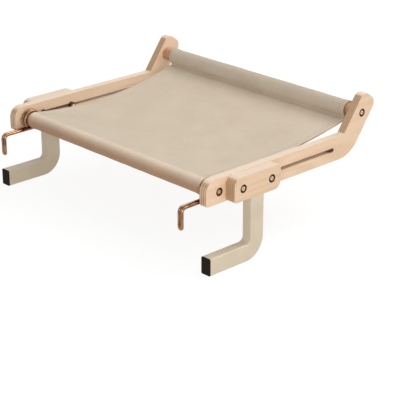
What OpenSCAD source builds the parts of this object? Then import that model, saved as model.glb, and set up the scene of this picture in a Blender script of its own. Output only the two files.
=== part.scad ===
// Cat hammock that hooks onto a window sill: two plywood arms joined by two crossbars, a fabric sling
// between the bars, bent steel legs clamped in the arms' slots, and wire hooks on the front bar.
// Millimetres, +Z up. X runs along the crossbars and Y from the hooked end to the upswept end.
// The origin is on the sill plane under the arms, midway between them, at their front ends.

/* [Arms] */
// Distance between the inner faces of the two arms
arm_span = 490; // [400:5:700]
// Thickness of each arm board
arm_t = 15; // [12:0.5:22]
// Height of the straight part of an arm
arm_h = 43.5; // [40:0.5:60]
// Length of the straight underside, up to the corner of the bend
arm_run = 349; // [335:1:450]
// Angle of the upswept end above the straight part
sweep_angle = 54; // [40:1:65]
// Width of the upswept end
sweep_w = 40.5; // [36:0.5:50]
// Length of the upswept end, from the corner of the bend to the tip
sweep_len = 109; // [100:1:150]
// Radius under the bend
bend_r = 58; // [30:1:65]
// Radius in the inner corner of the bend
inner_corner_r = 6; // [3:0.5:12]
// Radius of the two corners of the tip
tip_r = 14; // [6:0.5:17]
// Radius of the upper front corner
nose_top_r = 20; // [6:0.5:22]
// Radius of the lower front corner
nose_bottom_r = 5; // [4:0.5:14]

/* [Crossbars] */
// Diameter of a crossbar
bar_d = 25; // [20:0.5:28]
// Distance of the front bar's axis from the front end of the arms
front_bar_y = 30; // [24:0.5:34]
// Height of the front bar's axis above the sill plane
front_bar_z = 20; // [18:0.5:25]
// Distance of the rear bar's axis from the tip of the upswept end
rear_bar_inset = 34; // [26:0.5:40]
// Diameter of the threaded insert in a bar end
insert_d = 10; // [9:0.5:12]
// Length of the threaded insert
insert_len = 20; // [12:1:30]

/* [Sling] */
// Thickness of the fabric round a bar
sleeve_t = 1.6; // [1:0.1:2.5]
// Thickness of the doubled fabric of the seat
seat_t = 2.2; // [1.8:0.1:3.5]
// Depth of the seat's sag below a straight line between the bars
sling_sag = 20; // [8:1:40]

/* [Slider blocks] */
// Length of a block along the arm
block_len = 107; // [100:1:130]
// Height of a block
block_h = 42.5; // [36:0.5:50]
// Thickness of a block
block_t = 20; // [16:0.5:28]
// Radius of a block's upper front and lower rear corners
block_round_r = 14; // [6:0.5:18]
// Radius of a block's lower front and upper rear corners
block_square_r = 6; // [3:0.5:14]
// Distance of a block's middle from the front end of the arms, in its foremost place
block_y = 97.5; // [95:0.5:110]
// Distance between the two clamp bolts of a block
clamp_spacing = 66; // [56:1:80]
// Travel of a block along its slot
slide_travel = 170; // [100:1:175]

/* [Legs] */
// Width of the leg tube across the arms
tube_w = 20; // [16:0.5:28]
// Depth of the leg tube along the arms
tube_d = 30; // [24:0.5:36]
// Wall of the leg tube
tube_wall = 1.2; // [1:0.1:1.6]
// Radius of the tube's long edges
tube_r = 2.2; // [2.1:0.1:5]
// Radius inside the bend of the tube
leg_bend_r = 9; // [5:0.5:20]
// Depth of the leg's underside below the sill plane
leg_drop = 110; // [90:0.5:160]
// Distance from the middle of the post forward to the face of the foot
foot_reach = 108; // [95:0.5:140]
// Thickness of the steel bracket on top of a leg
plate_t = 3; // [2:0.1:5]
// Length of the bracket's upright plate along the arm
plate_len = 90; // [84:1:96]
// Height of the bracket's upright plate
plate_h = 28; // [20:0.5:32]
// Thickness of the rubber cap in front of the tube
cap_t = 2; // [1.5:0.5:8]
// Length of the cap's plug inside the tube
plug_len = 14; // [8:1:25]

/* [Hooks] */
// Diameter of the hook wire
wire_d = 5; // [3:0.25:6]
// Distance between the two runs of a hook's wire
wire_spacing = 7; // [7:0.25:14]
// Distance that a hook's wire stands in front of the arms, at the middle of the wire
hook_reach = 33; // [25:0.5:60]
// Depth of a hook's tip below the sill plane
hook_drop = 35.5; // [25:0.5:60]
// Radius at the middle of the wire where a hook turns down
hook_bend_r = 8; // [5:0.5:12]
// Slack of a wire eye, which hangs on the bar
eye_slack = 1.1; // [0:0.1:1.2]
// Turn of each wire eye round the bar
eye_turn = 305; // [270:1:308]
// Space between a hook and the arm beside it
hook_side_gap = 2.5; // [1:0.25:5]
// Space between a hook and the end of the sling
sling_side_gap = 3.5; // [1:0.25:8]

/* [Fasteners] */
// Diameter of the bolts' threads
bolt_d = 6; // [5:0.5:7]
// Diameter of a bolt head
head_d = 10; // [9:0.5:12]
// Thickness of a bolt head
head_t = 3; // [2:0.1:4]
// Chamfer of a bolt head
head_chamfer = 0.8; // [0.3:0.1:1.2]
// Diameter of the washer under a bolt head
head_washer_d = 13; // [12:0.5:15]
// Thickness of the washer under a bolt head
head_washer_t = 1.2; // [0.8:0.1:2]
// Width of the hexagon socket across its flats
socket_af = 3; // [3:0.5:5]
// Depth of the hexagon socket
socket_depth = 2; // [1:0.1:2.5]
// Thread of a crossbar bolt inside its insert
bar_bolt_grip = 17; // [10:0.5:19]
// Width of a nut across its flats
nut_af = 10; // [9:0.5:13]
// Thickness of a nut
nut_t = 5; // [3:0.1:7]
// Diameter of the washer under a nut
nut_washer_d = 12; // [11:0.5:18]
// Thickness of the washer under a nut
nut_washer_t = 1.6; // [1:0.1:2.5]
// Length of bolt that shows past a nut
bolt_proud = 1.5; // [0.5:0.1:4]

/* [Fits] */
// Gap between an arm and what slides along it
slide_gap = 0.3; // [0.2:0.05:0.6]
// Gap round a bolt in its hole or slot
bolt_gap = 0.25; // [0.1:0.05:0.5]
// Gap round a head's washer in its counterbore
counterbore_gap = 0.5; // [0.2:0.1:1]
// Depth of a bolt head's face below the wood
head_sink = 0.3; // [0.1:0.1:1]
// Gap between threads
thread_gap = 0.05; // [0.02:0.01:0.1]
// Gap between an insert and its hole
insert_gap = 0.1; // [0.05:0.05:0.2]
// Gap between a hook's eye and the bar
eye_gap = 0.1; // [0.05:0.01:0.1]
// Gap between the sling's sleeve and the bar
sleeve_gap = 0.2; // [0.1:0.05:0.5]
// Gap between the bracket's plate and its recess
plate_gap = 0.25; // [0.1:0.05:0.5]
// Gap between the cap's plug and the tube
plug_gap = 0.2; // [0.1:0.05:0.4]
// Play left at each end of a slot
slot_play = 0.5; // [0.2:0.1:2]

/* [Hidden] */
$fn = 64;

// Overlap of cutting shapes past the faces that they cut
past = 1;

// Colours
plywood = [0.90, 0.79, 0.66];
dowel_wood = [0.74, 0.52, 0.36];
canvas = [0.80, 0.73, 0.64];
cream_paint = [0.84, 0.79, 0.70];
black_rubber = [0.08, 0.08, 0.08];
bronze = [0.45, 0.32, 0.20];
dark_steel = [0.16, 0.12, 0.10];
copper = [0.76, 0.52, 0.38];

// Planes across the arms, on the right-hand side
arm_in_x = arm_span / 2;
arm_out_x = arm_in_x + arm_t;
slider_in_x = arm_out_x + slide_gap;
block_out_x = slider_in_x + block_t;

// Points are [y, z] in the plane of an arm
function along(angle) = [cos(angle), sin(angle)];
sweep_dir = along(sweep_angle);
sweep_up = along(sweep_angle + 90);
bend_corner = [arm_run, 0];
tip_low = bend_corner + sweep_len * sweep_dir;
tip_high = tip_low + sweep_w * sweep_up;
// The upper edge of the upswept end meets the top of the straight part here
inner_corner = [arm_run - (sweep_w - arm_h * cos(sweep_angle)) / sin(sweep_angle), arm_h];

front_axis = [front_bar_y, front_bar_z];
rear_axis = tip_low - rear_bar_inset * sweep_dir + sweep_w / 2 * sweep_up;

// Slot and clamp
slot_z = arm_h / 2;
slot_r = bolt_d / 2 + bolt_gap;
slot_front_y = block_y - clamp_spacing / 2 - slot_play;
slot_rear_y = block_y + clamp_spacing / 2 + slide_travel + slot_play;
clamp_ys = [block_y - clamp_spacing / 2, block_y + clamp_spacing / 2];
// Depth of a head's underside below the wood, and of the counterbore's floor under its washer
head_seat = head_t + head_sink;
counterbore_depth = head_seat + head_washer_t;
counterbore_r = head_washer_d / 2 + counterbore_gap;
clamp_seat_x = block_out_x - head_seat;
clamp_len = clamp_seat_x - arm_in_x + nut_washer_t + nut_t + bolt_proud;
bar_seat_x = arm_out_x - head_seat;
bar_bolt_len = bar_seat_x - arm_in_x + bar_bolt_grip;

// Sling
bar_r = bar_d / 2;
sleeve_bore_r = bar_r + sleeve_gap;
sleeve_out_r = sleeve_bore_r + sleeve_t;
sleeve_mid_r = sleeve_bore_r + sleeve_t / 2;
bare_end = hook_side_gap + wire_spacing + wire_d + sling_side_gap;
sling_out_x = arm_in_x - bare_end;
bar_line = rear_axis - front_axis;
bar_distance = norm(bar_line);
bar_dir = bar_line / bar_distance;
bar_up = [-bar_dir.y, bar_dir.x];
// The seat is an arc that lies on the front bar and passes under the rear bar
seat_r = bar_distance * bar_distance / (8 * sling_sag) + sling_sag / 2;
seat_run = (4 * seat_r * sleeve_mid_r + bar_distance * bar_distance) / (2 * bar_distance);
seat_rise = sqrt(pow(seat_r + sleeve_mid_r, 2) - seat_run * seat_run);
seat_centre = front_axis + seat_run * bar_dir + seat_rise * bar_up;

// Leg
block_bottom_z = slot_z - block_h / 2;
bracket_foot_z = block_bottom_z - plate_t;
tube_mid_x = slider_in_x + tube_w / 2;
leg_bend_y = block_y - tube_d / 2 - leg_bend_r;
leg_bend_z = tube_d + leg_bend_r - leg_drop;
foot_mid_z = tube_d / 2 - leg_drop;
cap_face_y = block_y - foot_reach;
tube_end_y = cap_face_y + cap_t;

// Hook
eye_r = bar_r + eye_gap + eye_slack + wire_d / 2;
eye_z = front_bar_z - eye_slack;
hook_mid_x = arm_in_x - hook_side_gap - wire_d / 2 - wire_spacing / 2;
hook_xs = [hook_mid_x - wire_spacing / 2, hook_mid_x + wire_spacing / 2];
hook_run_z = eye_z - eye_r;
hook_bend_y = hook_bend_r - hook_reach;
hook_bend_z = hook_run_z - hook_bend_r;
hook_turn_r = wire_spacing / 2;
hook_turn_z = wire_d / 2 + hook_turn_r - hook_drop;
eye_start = -90;

// Points along the middle of a hook's wire, from one free end to the other, to measure its least gap
wire_step = wire_d / 2;
function steps(length) = ceil(length / wire_step);
function eye_points(x) =
    let (n = steps(eye_r * eye_turn * PI / 180))
    [for (k = [n : -1 : 0])
        [x, front_bar_y + eye_r * cos(eye_start + eye_turn * k / n),
            eye_z + eye_r * sin(eye_start + eye_turn * k / n)]];
function line_points(from, to) =
    let (n = steps(norm(to - from)))
    [for (k = [1 : n]) from + (to - from) * k / n];
function bend_points(x) =
    let (n = steps(hook_bend_r * PI / 2))
    [for (k = [1 : n])
        [x, hook_bend_y + hook_bend_r * cos(90 + 90 * k / n),
            hook_bend_z + hook_bend_r * sin(90 + 90 * k / n)]];
function turn_points() =
    let (n = steps(hook_turn_r * PI))
    [for (k = [1 : n - 1])
        [hook_mid_x - hook_turn_r * cos(180 * k / n), -hook_reach,
            hook_turn_z - hook_turn_r * sin(180 * k / n)]];
function half_wire(x) = concat(
    eye_points(x),
    line_points([x, front_bar_y, hook_run_z], [x, hook_bend_y, hook_run_z]),
    bend_points(x),
    line_points([x, -hook_reach, hook_bend_z], [x, -hook_reach, hook_turn_z]));
function reversed(list) = [for (k = [len(list) - 1 : -1 : 0]) list[k]];
wire_points = concat(half_wire(hook_xs[0]), turn_points(), reversed(half_wire(hook_xs[1])));
// Points nearer along the wire than this are neighbours
neighbour_steps = 8;
last_point = len(wire_points) - 1;
wire_least_gap = min([
    for (i = [0 : last_point - neighbour_steps])
        for (j = [i + neighbour_steps : last_point])
            norm(wire_points[i] - wire_points[j])]) - wire_d;
echo(hook_wire_least_gap_to_itself = wire_least_gap);

// Helpers

// Extrudes an outline in [y, z] from one x plane to another
module extrude_x(from, to) {
    translate([from, 0, 0]) rotate([90, 0, 90]) linear_extrude(to - from) children();
}

// Places a shape drawn along +Z so that it points along +X from a point in the arm's plane
module along_x(x, at) {
    translate([x, at.x, at.y]) rotate([0, 90, 0]) children();
}

module mirrored() {
    mirror([1, 0, 0]) children();
}

module both_sides() {
    children();
    mirrored() children();
}

module rounded_rectangle(w, h, r) {
    square([w - 2 * r, h], center = true);
    square([w, h - 2 * r], center = true);
    for (x = [-1, 1])
        for (y = [-1, 1])
            translate([x * (w / 2 - r), y * (h / 2 - r)]) circle(r);
}

// Bolt along +Z, with the underside of its head at the origin
module furniture_bolt(length) {
    head_r = head_d / 2;
    socket_r = socket_af / 2 / cos(30);
    difference() {
        union() {
            rotate_extrude()
                polygon([[0, 0], [head_r, 0], [head_r, head_t - head_chamfer],
                         [head_r - head_chamfer, head_t], [0, head_t]]);
            translate([0, 0, -length]) cylinder(h = length, d = bolt_d);
        }
        translate([0, 0, head_t - socket_depth]) cylinder(h = socket_depth + past, r = socket_r, $fn = 6);
    }
}

// Hole for a bolt along +Z through wood that starts at the origin, with a counterbore at its far face
module bolt_hole(depth) {
    translate([0, 0, -past]) cylinder(h = depth + 2 * past, r = slot_r);
    translate([0, 0, depth - counterbore_depth]) cylinder(h = counterbore_depth + past, r = counterbore_r);
}

module washer(d, t) {
    difference() {
        cylinder(h = t, d = d);
        translate([0, 0, -past]) cylinder(h = t + 2 * past, r = slot_r);
    }
}

// Arms

// Corner of an outline: where it is, its radius, and the directions in which its two edges leave
function corner(at, r, back, ahead) = [at, r, back, ahead];
function half_turn(c) = acos(c[2] * c[3]) / 2;
function corner_start(c) = c[0] + c[1] / tan(half_turn(c)) * c[2];
function corner_end(c) = c[0] + c[1] / tan(half_turn(c)) * c[3];
function corner_centre(c) =
    let (middle = c[2] + c[3])
    c[0] + c[1] / sin(half_turn(c)) * middle / norm(middle);

arm_corners = [
    corner([0, 0], nose_bottom_r, [0, 1], [1, 0]),
    corner(bend_corner, bend_r, [-1, 0], sweep_dir),
    corner(tip_low, tip_r, -sweep_dir, sweep_up),
    corner(tip_high, tip_r, -sweep_up, -sweep_dir),
    corner([0, arm_h], nose_top_r, [1, 0], [0, -1])
];
hollow_corner = corner(inner_corner, inner_corner_r, sweep_dir, [-1, 0]);

// What a round corner takes away from a sharp one
module corner_cut(c) {
    start = corner_start(c);
    end = corner_end(c);
    centre = corner_centre(c);
    outward = (c[0] - centre) / norm(c[0] - centre);
    difference() {
        polygon([centre, start + past * (start - centre) / c[1], c[0] + past / sin(half_turn(c)) * outward,
                 end + past * (end - centre) / c[1]]);
        translate(centre) circle(c[1]);
    }
}

module arm_outline() {
    hollow = [corner_start(hollow_corner), corner_centre(hollow_corner), corner_end(hollow_corner)];
    difference() {
        polygon(concat([[0, 0], bend_corner, tip_low, tip_high], hollow, [[0, arm_h]]));
        for (c = arm_corners) corner_cut(c);
        translate(corner_centre(hollow_corner)) circle(inner_corner_r);
    }
}

module arm() {
    difference() {
        extrude_x(arm_in_x, arm_out_x) arm_outline();
        for (axis = [front_axis, rear_axis]) along_x(arm_in_x, axis) bolt_hole(arm_t);
        extrude_x(arm_in_x - past, arm_out_x + past) {
            translate([slot_front_y, slot_z - slot_r]) square([slot_rear_y - slot_front_y, 2 * slot_r]);
            for (y = [slot_front_y, slot_rear_y]) translate([y, slot_z]) circle(slot_r);
        }
    }
}

module left_arm() { color(plywood) mirrored() arm(); }
module right_arm() { color(plywood) arm(); }

// Crossbars

module crossbar(axis) {
    difference() {
        along_x(-arm_in_x, axis) cylinder(h = arm_span, r = bar_r);
        both_sides() along_x(arm_in_x - insert_len, axis)
            cylinder(h = insert_len + past, r = insert_d / 2 + insert_gap);
    }
}

module front_crossbar() { color(dowel_wood) crossbar(front_axis); }
module rear_crossbar() { color(dowel_wood) crossbar(rear_axis); }

module crossbar_insert() {
    difference() {
        cylinder(h = insert_len, d = insert_d);
        translate([0, 0, -past]) cylinder(h = insert_len + 2 * past, r = bolt_d / 2 + thread_gap);
    }
}

module crossbar_inserts() {
    color(bronze) both_sides()
        for (axis = [front_axis, rear_axis]) along_x(arm_in_x - insert_len, axis) crossbar_insert();
}

module crossbar_bolts() {
    color(bronze) both_sides()
        for (axis = [front_axis, rear_axis]) along_x(bar_seat_x, axis) furniture_bolt(bar_bolt_len);
}

module crossbar_washers() {
    color(dark_steel) both_sides()
        for (axis = [front_axis, rear_axis])
            along_x(bar_seat_x - head_washer_t, axis) washer(head_washer_d, head_washer_t);
}

// Sling: a sleeve round each bar and the sagging seat between them

module seat_arc() {
    to_front = front_axis - seat_centre;
    to_rear = rear_axis - seat_centre;
    // Far enough out for the straight far side of the wedge to clear the arc
    reach = 2 * seat_r;
    intersection() {
        translate(seat_centre) difference() {
            circle(seat_r + seat_t / 2);
            circle(seat_r - seat_t / 2);
        }
        polygon([seat_centre, seat_centre + reach * to_front / norm(to_front),
                 seat_centre + reach * to_rear / norm(to_rear)]);
    }
}

module sling() {
    color(canvas) extrude_x(-sling_out_x, sling_out_x) difference() {
        union() {
            seat_arc();
            for (axis = [front_axis, rear_axis]) translate(axis) circle(sleeve_out_r);
        }
        for (axis = [front_axis, rear_axis]) translate(axis) circle(sleeve_bore_r);
    }
}

// Sliders and legs

// Outline of the bracket's upright plate: wide at the bolts, with a neck down to the tube
module plate_outline(gap) {
    neck_h = slot_z - block_bottom_z;
    translate([block_y, slot_z]) square([plate_len + 2 * gap, plate_h + 2 * gap], center = true);
    translate([block_y - tube_d / 2 - gap, block_bottom_z]) square([tube_d + 2 * gap, neck_h]);
}

// Part of the neck that runs down through the bracket's foot, between the foot's round corners
module neck_root() {
    root_w = tube_d - 2 * tube_r;
    translate([block_y - root_w / 2, bracket_foot_z]) square([root_w, slot_z - bracket_foot_z]);
}

// Corners of a block, about its middle
block_corners = [
    corner([-block_len / 2, -block_h / 2], block_square_r, [0, 1], [1, 0]),
    corner([block_len / 2, -block_h / 2], block_round_r, [-1, 0], [0, 1]),
    corner([block_len / 2, block_h / 2], block_square_r, [0, -1], [-1, 0]),
    corner([-block_len / 2, block_h / 2], block_round_r, [1, 0], [0, -1])
];

module block_outline() {
    difference() {
        square([block_len, block_h], center = true);
        for (c = block_corners) corner_cut(c);
    }
}

module slider_block() {
    difference() {
        extrude_x(slider_in_x, block_out_x)
            translate([block_y, slot_z]) block_outline();
        extrude_x(slider_in_x - past, slider_in_x + plate_t) {
            plate_outline(plate_gap);
            translate([block_y - tube_d / 2 - plate_gap, block_bottom_z - past])
                square([tube_d + 2 * plate_gap, 2 * past]);
        }
        for (y = clamp_ys) along_x(slider_in_x, [y, slot_z]) bolt_hole(block_t);
    }
}

module left_slider_block() { color(plywood) mirrored() slider_block(); }
module right_slider_block() { color(plywood) slider_block(); }

module leg_bracket() {
    difference() {
        union() {
            extrude_x(slider_in_x, slider_in_x + plate_t) {
                plate_outline(0);
                neck_root();
            }
            translate([tube_mid_x, block_y, bracket_foot_z])
                linear_extrude(plate_t) rounded_rectangle(tube_w, tube_d, tube_r);
        }
        for (y = clamp_ys) along_x(slider_in_x - past, [y, slot_z])
            cylinder(h = plate_t + 2 * past, r = slot_r);
    }
}

module left_leg_bracket() { color(cream_paint) mirrored() leg_bracket(); }
module right_leg_bracket() { color(cream_paint) leg_bracket(); }

// Post, bend and foot of the leg, drawn in by an inset and with its two ends lengthened
module leg_sweep(inset, extra) {
    w = tube_w - 2 * inset;
    d = tube_d - 2 * inset;
    r = tube_r - inset;
    translate([tube_mid_x, block_y, leg_bend_z])
        linear_extrude(bracket_foot_z - leg_bend_z + extra) rounded_rectangle(w, d, r);
    translate([tube_mid_x, leg_bend_y, leg_bend_z]) rotate([90, 0, 90]) rotate([0, 0, -90])
        rotate_extrude(angle = 90) translate([leg_bend_r + tube_d / 2, 0]) rounded_rectangle(d, w, r);
    translate([tube_mid_x, leg_bend_y, foot_mid_z]) rotate([90, 0, 0])
        linear_extrude(leg_bend_y - tube_end_y + extra) rounded_rectangle(w, d, r);
}

module leg_tube() {
    difference() {
        leg_sweep(0, 0);
        leg_sweep(tube_wall, past);
    }
}

module left_leg_tube() { color(cream_paint) mirrored() leg_tube(); }
module right_leg_tube() { color(cream_paint) leg_tube(); }

module foot_cap() {
    inset = tube_wall + plug_gap;
    translate([tube_mid_x, tube_end_y, foot_mid_z]) rotate([90, 0, 0]) {
        linear_extrude(cap_t) rounded_rectangle(tube_w, tube_d, tube_r);
        translate([0, 0, -plug_len]) linear_extrude(plug_len)
            rounded_rectangle(tube_w - 2 * inset, tube_d - 2 * inset, tube_r - inset);
    }
}

module left_foot_cap() { color(black_rubber) mirrored() foot_cap(); }
module right_foot_cap() { color(black_rubber) foot_cap(); }

// Clamp bolts, washers and nuts

module clamp_bolts() {
    for (y = clamp_ys) along_x(clamp_seat_x, [y, slot_z]) furniture_bolt(clamp_len);
}

module left_clamp_bolts() { color(bronze) mirrored() clamp_bolts(); }
module right_clamp_bolts() { color(bronze) clamp_bolts(); }

module head_washers() {
    for (y = clamp_ys)
        along_x(clamp_seat_x - head_washer_t, [y, slot_z]) washer(head_washer_d, head_washer_t);
}

module left_head_washers() { color(dark_steel) mirrored() head_washers(); }
module right_head_washers() { color(dark_steel) head_washers(); }

module nut_washers() {
    for (y = clamp_ys) along_x(arm_in_x - nut_washer_t, [y, slot_z]) washer(nut_washer_d, nut_washer_t);
}

module left_nut_washers() { color(bronze) mirrored() nut_washers(); }
module right_nut_washers() { color(bronze) nut_washers(); }

module clamp_nuts() {
    nut_r = nut_af / 2 / cos(30);
    for (y = clamp_ys) along_x(arm_in_x - nut_washer_t - nut_t, [y, slot_z]) difference() {
        cylinder(h = nut_t, r = nut_r, $fn = 6);
        translate([0, 0, -past]) cylinder(h = nut_t + 2 * past, r = bolt_d / 2 + thread_gap);
    }
}

module left_clamp_nuts() { color(bronze) mirrored() clamp_nuts(); }
module right_clamp_nuts() { color(bronze) clamp_nuts(); }

// Hooks: one bent wire with an open eye round the bar at each end

module wire_arc(r, angle) {
    rotate_extrude(angle = angle) translate([r, 0]) circle(d = wire_d);
}

module hook() {
    for (x = hook_xs) {
        translate([x, front_bar_y, eye_z]) rotate([90, 0, 90])
            rotate([0, 0, eye_start]) wire_arc(eye_r, eye_turn);
        translate([x, front_bar_y, hook_run_z]) rotate([90, 0, 0])
            cylinder(h = front_bar_y - hook_bend_y, d = wire_d);
        translate([x, hook_bend_y, hook_bend_z]) rotate([90, 0, 90])
            rotate([0, 0, 90]) wire_arc(hook_bend_r, 90);
        translate([x, -hook_reach, hook_turn_z]) cylinder(h = hook_bend_z - hook_turn_z, d = wire_d);
    }
    translate([hook_mid_x, -hook_reach, hook_turn_z]) rotate([90, 0, 0])
        rotate([0, 0, 180]) wire_arc(hook_turn_r, 180);
}

module left_hook() { color(copper) mirrored() hook(); }
module right_hook() { color(copper) hook(); }

left_arm();
right_arm();
front_crossbar();
rear_crossbar();
crossbar_inserts();
crossbar_bolts();
crossbar_washers();
sling();
left_slider_block();
right_slider_block();
left_leg_bracket();
right_leg_bracket();
left_leg_tube();
right_leg_tube();
left_foot_cap();
right_foot_cap();
left_clamp_bolts();
right_clamp_bolts();
left_head_washers();
right_head_washers();
left_nut_washers();
right_nut_washers();
left_clamp_nuts();
right_clamp_nuts();
left_hook();
right_hook();
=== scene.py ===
"""Looks of the window-sill cat hammock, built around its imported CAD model. Lengths are in metres."""
import math

import bpy
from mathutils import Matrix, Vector, noise


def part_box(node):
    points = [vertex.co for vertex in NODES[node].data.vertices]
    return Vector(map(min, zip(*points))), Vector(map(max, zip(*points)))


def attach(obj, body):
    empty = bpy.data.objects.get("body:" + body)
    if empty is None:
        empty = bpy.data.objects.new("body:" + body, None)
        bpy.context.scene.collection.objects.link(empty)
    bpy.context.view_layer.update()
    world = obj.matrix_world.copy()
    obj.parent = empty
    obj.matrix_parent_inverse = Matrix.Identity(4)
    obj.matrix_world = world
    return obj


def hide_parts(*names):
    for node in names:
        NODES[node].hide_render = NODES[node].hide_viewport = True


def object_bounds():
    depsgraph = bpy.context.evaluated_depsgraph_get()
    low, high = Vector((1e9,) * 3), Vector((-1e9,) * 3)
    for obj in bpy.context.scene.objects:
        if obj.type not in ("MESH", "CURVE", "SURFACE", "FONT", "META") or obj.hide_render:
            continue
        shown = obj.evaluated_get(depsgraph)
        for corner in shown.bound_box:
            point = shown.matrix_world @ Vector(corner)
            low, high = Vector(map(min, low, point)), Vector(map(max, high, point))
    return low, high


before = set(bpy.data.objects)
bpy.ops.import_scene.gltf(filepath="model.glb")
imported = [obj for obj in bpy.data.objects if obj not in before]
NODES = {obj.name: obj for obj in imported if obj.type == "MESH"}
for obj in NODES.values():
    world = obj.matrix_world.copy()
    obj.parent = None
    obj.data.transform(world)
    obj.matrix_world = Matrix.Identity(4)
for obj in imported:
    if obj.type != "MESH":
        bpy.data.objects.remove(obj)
CAD_BOX = [list(corner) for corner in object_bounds()]
SIDES = ("left", "right")
BARS = ("front_crossbar", "rear_crossbar")
FULL_TURN = 2 * math.pi

# Camera, fitted to the straight edges of the arms, blocks and legs in the photograph
CAMERA_AZIMUTH = math.radians(46.498)
CAMERA_ELEVATION = math.radians(22.390)
CAMERA_DISTANCE = 2.40793
CAMERA_TARGET = Vector((0.09903, 0.14000, -0.07319))
CAMERA_LENS = 123.63
CAMERA_SENSOR = 36.0
CAMERA_FAR = 100.0

# Studio: a floor that lights the part from below, light from all round, and four lamps
FLOOR_SIZE = 14.0
FLOOR_BOUNCE = (0.70, 0.655, 0.60, 1.0)
FLOOR_SEEN = (0.85, 0.85, 0.85, 1.0)
FLOOR_GLOW = 1.06
FLOOR_GLOW_SHARE = 0.84
FLOOR_FADE = (0.8, 2.0)
AMBIENT = (0.53, 0.515, 0.49, 1.0)
SEEN_WHITE = (1.0, 1.0, 1.0, 1.0)
LAMPS = {
    "top_light": {"at": (0.70, 0.70, 2.40), "size": 2.2, "watts": 17.5},
    "side_light": {"at": (1.0, -0.75, 0.38), "size": 0.6, "watts": 3.6},
    "low_light": {"at": (4.6, -0.60, 0.02), "size": 0.9, "watts": 36.5},
    "back_light": {"at": (0.55, 2.00, 2.2), "size": 1.4, "watts": 28.0},
}
LAMP_AIM = Vector((0.0, 0.18, 0.0))

# Rounded edges of the nodes on both sides
BOARD_ROUND = 0.0013
METAL_ROUND = 0.0004
ROUNDED = {
    "arm": BOARD_ROUND, "slider_block": BOARD_ROUND, "foot_cap": METAL_ROUND, "leg_bracket": METAL_ROUND,
}
ROUND_STEPS = 3
WELD_REACH = 1e-5
FLAT_WITHIN = math.radians(0.3)
SHARP_FROM = math.radians(35)

# Shading in general: spans of noise values, plain shine, and a distance beyond every axis
NOISE_SPAN = (0.3, 0.7)
FIBRE_SPAN = (0.25, 0.75)
TARNISH_SPAN = (0.35, 0.70)
PATCH_SPAN = (0.35, 0.72)
SHINE = 0.5
FAR_OFF = 1.0

# Cuts in the boards: slot of the arms with its first and last arc centre, counterbores round the bolt
# heads, painted shade on their walls
SLOT_R = 0.00325
SLOT_FROM = 0.0640
SLOT_TO = 0.3010
SLOT_RIM = (0.0003, 0.0012)
# Painted shade in the slot, faint along it and strong at its rear end, and on the counterbore walls
SLOT_PAINTED_SHADE = 0.04
SLOT_END_PAINTED_SHADE = 0.72
END_SHADE_FROM = 0.287
BORE_R = 0.0070
BORE_RIM = (0.0001, 0.0005)
BORE_PAINTED_SHADE = 0.92

# Plywood: its plies, with the end grain that crosswise ones show in front, its colours and its lacquer
ARM_PLY = {
    "plies": 7, "cross_share": 0.25, "pale": (0.86, 0.645, 0.46, 1.0), "deep": (0.765, 0.535, 0.365, 1.0),
}
BLOCK_PLY = {
    "plies": 9, "cross_share": 0.70, "pale": (0.80, 0.590, 0.410, 1.0), "deep": (0.710, 0.487, 0.325, 1.0),
}
PLY_PORE = (0.46, 0.29, 0.17, 1.0)
SAWN_EDGE = (0.93, 0.83, 0.71, 1.0)
END_GRAIN = (0.37, 0.205, 0.092, 1.0)
GLUE_LINE = (0.40, 0.25, 0.15, 1.0)
# Painted shade for the walls of the cuts
PAINTED_CUT_SHADE = (0.10, 0.045, 0.018, 1.0)
PLY_PORE_SHARE = 0.16
SAWN_SHARE = 0.45
END_SHARE = 0.85
GLUE_SHARE = 0.45
TOP_END_GRAIN = 0.30
SLOPED_GRAIN = 0.75
FACING_FRONT = (0.45, 0.75)
FACING_UP = (0.6, 0.9)
FACING_SLOPE = (0.35, 0.55)
FACE_PLY = 0.75
GLUE_SPAN = (0.44, 0.49)
PLY_SHIFT = 3.7
PLY_FIBRE = (1.0, 22.0, 700.0)
PLY_FIGURE = (1.0, 2.6, 26.0)
PLY_FIGURE_LINES = 34.0
PLY_CLOUD = (1.0, 9.0, 22.0)
PLY_PORES = (1.0, 75.0, 2600.0)
PLY_PORE_SPAN = (0.60, 0.78)
PLY_TONE = (0.55, 0.22, 0.30)
PLY_TONE_SPAN = (0.25, 0.85)
PLY_RELIEF = (0.6, -0.5, -0.8)
PLY_ROUGH = (0.40, 0.52)
LACQUER = 0.35
LACQUER_ROUGH = 0.25
WOOD_BUMP = (0.00008, 0.5)

# Wood of the bars
BAR_PALE = (0.60, 0.36, 0.21, 1.0)
BAR_DEEP = (0.44, 0.235, 0.125, 1.0)
BAR_PORE = (0.18, 0.075, 0.035, 1.0)
BAR_PORE_SHARE = 0.4
BAR_FIBRE = (24.0, 800.0, 800.0)
BAR_FIGURE = (2.5, 60.0, 60.0)
BAR_FIGURE_LINES = 30.0
BAR_PORES = (90.0, 2600.0, 2600.0)
BAR_PORE_SPAN = (0.60, 0.76)
BAR_TONE = (0.6, 0.4)
BAR_TONE_SPAN = (0.2, 0.85)
BAR_ROUGH = (0.36, 0.50)

# Paint of the legs
PAINT_PALE = (0.68, 0.595, 0.470, 1.0)
PAINT_DEEP = (0.64, 0.555, 0.432, 1.0)
PAINT_SPECK = (0.55, 0.46, 0.33, 1.0)
PAINT_SPECK_SHARE = 0.15
PEEL_SCALE = 950.0
SPECK_SCALE = 3200.0
SPECK_SPAN = (0.66, 0.74)
PAINT_CLOUD_SCALE = 28.0
PEEL_BUMP = (0.00010, 0.35)
PAINT_ROUGH = (0.40, 0.48)

# Rubber of the caps
RUBBER_BLACK = (0.009, 0.007, 0.005, 1.0)
RUBBER_RUBBED = (0.024, 0.020, 0.016, 1.0)
RUBBED_SHARE = 0.5
PIT_SCALE = 2200.0
RUB_SCALE = 160.0
RUB_SPAN = (0.52, 0.72)
PIT_BUMP = (0.00012, 0.5)
RUBBER_ROUGH = (0.66, 0.82)
RUBBER_SHINE = 0.14
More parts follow.
